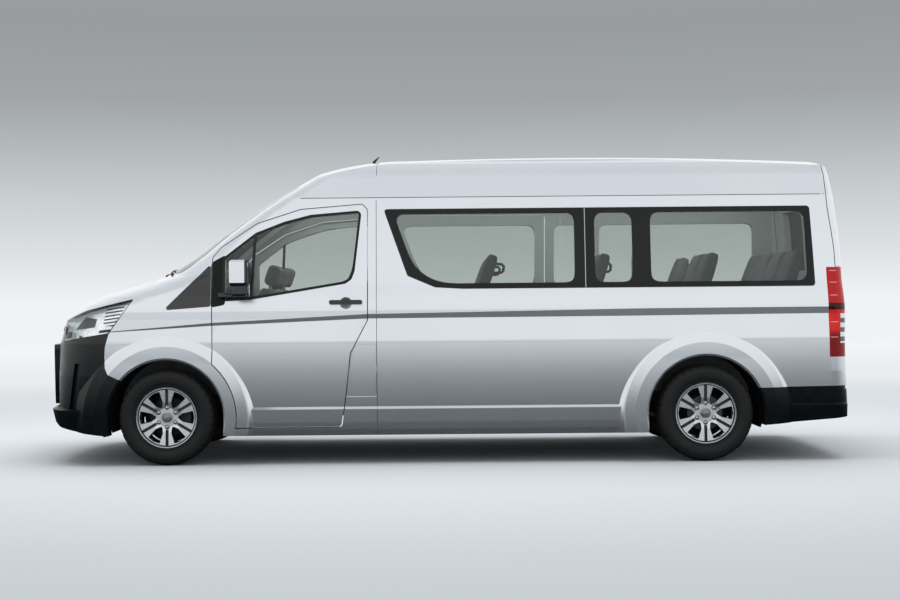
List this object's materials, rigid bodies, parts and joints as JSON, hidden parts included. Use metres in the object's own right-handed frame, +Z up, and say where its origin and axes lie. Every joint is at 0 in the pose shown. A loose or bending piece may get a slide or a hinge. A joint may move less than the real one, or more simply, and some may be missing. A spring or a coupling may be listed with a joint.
{
  "type": "minibus",
  "caption": "Long high-roof passenger van with a short bonnet, opening front doors, tailgate, bonnet and fuel flap, steered front wheels, seats inside.",
  "frame": {"origin": "on the ground below the middle of the length, on the centre plane", "axes": "+X to the rear, +Y to the vehicle right, +Z up"},
  "size_m": [5.914, 2.29, 2.2534],
  "materials": {
    "paint": "metallic silver, glossy clear coat",
    "bumper_black": "unpainted black plastic, fine grain",
    "gloss_black": "black gloss trim",
    "glass": "tinted grey-green",
    "lens_clear": "clear polycarbonate lamp",
    "lens_red": "red acrylic lamp",
    "chassis": "black chassis paint",
    "cast": "as cast",
    "steel": "bare steel",
    "alloy": "machined and lacquered alloy",
    "tyre": "black rubber",
    "interior": "dark grey grained plastic",
    "seat_fabric": "grey woven fabric",
    "carpet": "painted floor, grey"
  },
  "bodies": {
    "shell": {"cab_shell": "paint", "roof_panel": "paint", "side_panel_left": "paint", "side_panel_right": "paint", "wings": "paint", "front_bumper": "bumper_black", "grille": "bumper_black", "headlamps": "lens_clear", "windscreen": "glass", "quarter_trims": "gloss_black", "rear_bumper": "bumper_black", "tail_lamps": "lens_red", "side_glass": "glass", "sliding_door": "paint", "floor_pan": "carpet", "arch_liners": "bumper_black", "frame_rails": "chassis", "front_suspension": "chassis", "rear_axle": "cast", "leaf_springs": "steel", "engine_block": "cast", "radiator": "steel", "exhaust": "steel", "fuel_tank": "chassis", "spare_wheel": "tyre", "dashboard": "interior", "steering_wheel": "interior", "front_seats": "seat_fabric", "passenger_seats": "seat_fabric", "seat_legs": "chassis"},
    "knuckle_left": {"knuckle_left": "cast"},
    "knuckle_right": {"knuckle_right": "cast"},
    "wheel_fl": {"wheel_front_left": "alloy", "tyre_front_left": "tyre"},
    "wheel_fr": {"wheel_front_right": "alloy", "tyre_front_right": "tyre"},
    "wheel_rl": {"wheel_rear_left": "alloy", "tyre_rear_left": "tyre"},
    "wheel_rr": {"wheel_rear_right": "alloy", "tyre_rear_right": "tyre"},
    "front_door_left": {"door_left": "paint", "door_glass_left": "glass", "door_fittings_left": "gloss_black"},
    "front_door_right": {"door_right": "paint", "door_glass_right": "glass", "door_fittings_right": "gloss_black"},
    "tailgate": {"tailgate": "paint", "tailgate_glass": "glass"},
    "hood": {"hood": "paint"},
    "fuel_flap": {"fuel_flap": "paint"}
  },
  "joints": [
    {"name": "steer_left", "type": "hinge", "parent": "shell", "child": "knuckle_left", "pos_m": [-1.985, -0.76, 0.344], "axis": [0, 0, 1], "range_deg": [-33, 33]},
    {"name": "steer_right", "type": "hinge", "parent": "shell", "child": "knuckle_right", "pos_m": [-1.985, 0.76, 0.344], "axis": [0, 0, 1], "range_deg": [-33, 33]},
    {"name": "spin_front_left", "type": "hinge", "parent": "knuckle_left", "child": "wheel_fl", "pos_m": [-1.985, -0.836, 0.344], "axis": [0, 1, 0], "continuous": true},
    {"name": "spin_front_right", "type": "hinge", "parent": "knuckle_right", "child": "wheel_fr", "pos_m": [-1.985, 0.836, 0.344], "axis": [0, 1, 0], "continuous": true},
    {"name": "spin_rear_left", "type": "hinge", "parent": "shell", "child": "wheel_rl", "pos_m": [1.875, -0.836, 0.344], "axis": [0, 1, 0], "continuous": true},
    {"name": "spin_rear_right", "type": "hinge", "parent": "shell", "child": "wheel_rr", "pos_m": [1.875, 0.836, 0.344], "axis": [0, 1, 0], "continuous": true},
    {"name": "door_left_swing", "type": "hinge", "parent": "shell", "child": "front_door_left", "pos_m": [-1.692, -0.91706, 1], "axis": [0, -0.0312, -0.9995], "range_deg": [0, 65]},
    {"name": "door_right_swing", "type": "hinge", "parent": "shell", "child": "front_door_right", "pos_m": [-1.692, 0.91706, 1], "axis": [0, -0.0312, 0.9995], "range_deg": [0, 65]},
    {"name": "tailgate_lift", "type": "hinge", "parent": "shell", "child": "tailgate", "pos_m": [2.765, 0, 2.207], "axis": [0, -1, 0], "range_deg": [0, 85]},
    {"name": "hood_lift", "type": "hinge", "parent": "shell", "child": "hood", "pos_m": [-2.142, 0, 1.36], "axis": [0, 1, 0], "range_deg": [0, 50]},
    {"name": "fuel_flap_swing", "type": "hinge", "parent": "shell", "child": "fuel_flap", "pos_m": [-0.47925, -0.9445, 0.671], "axis": [0, -0.0614, 0.9981], "range_deg": [0, 80]}
  ],
  "couplings": [
    {"joint": "steer_right", "follows": "steer_left", "ratio": 1}
  ]
}
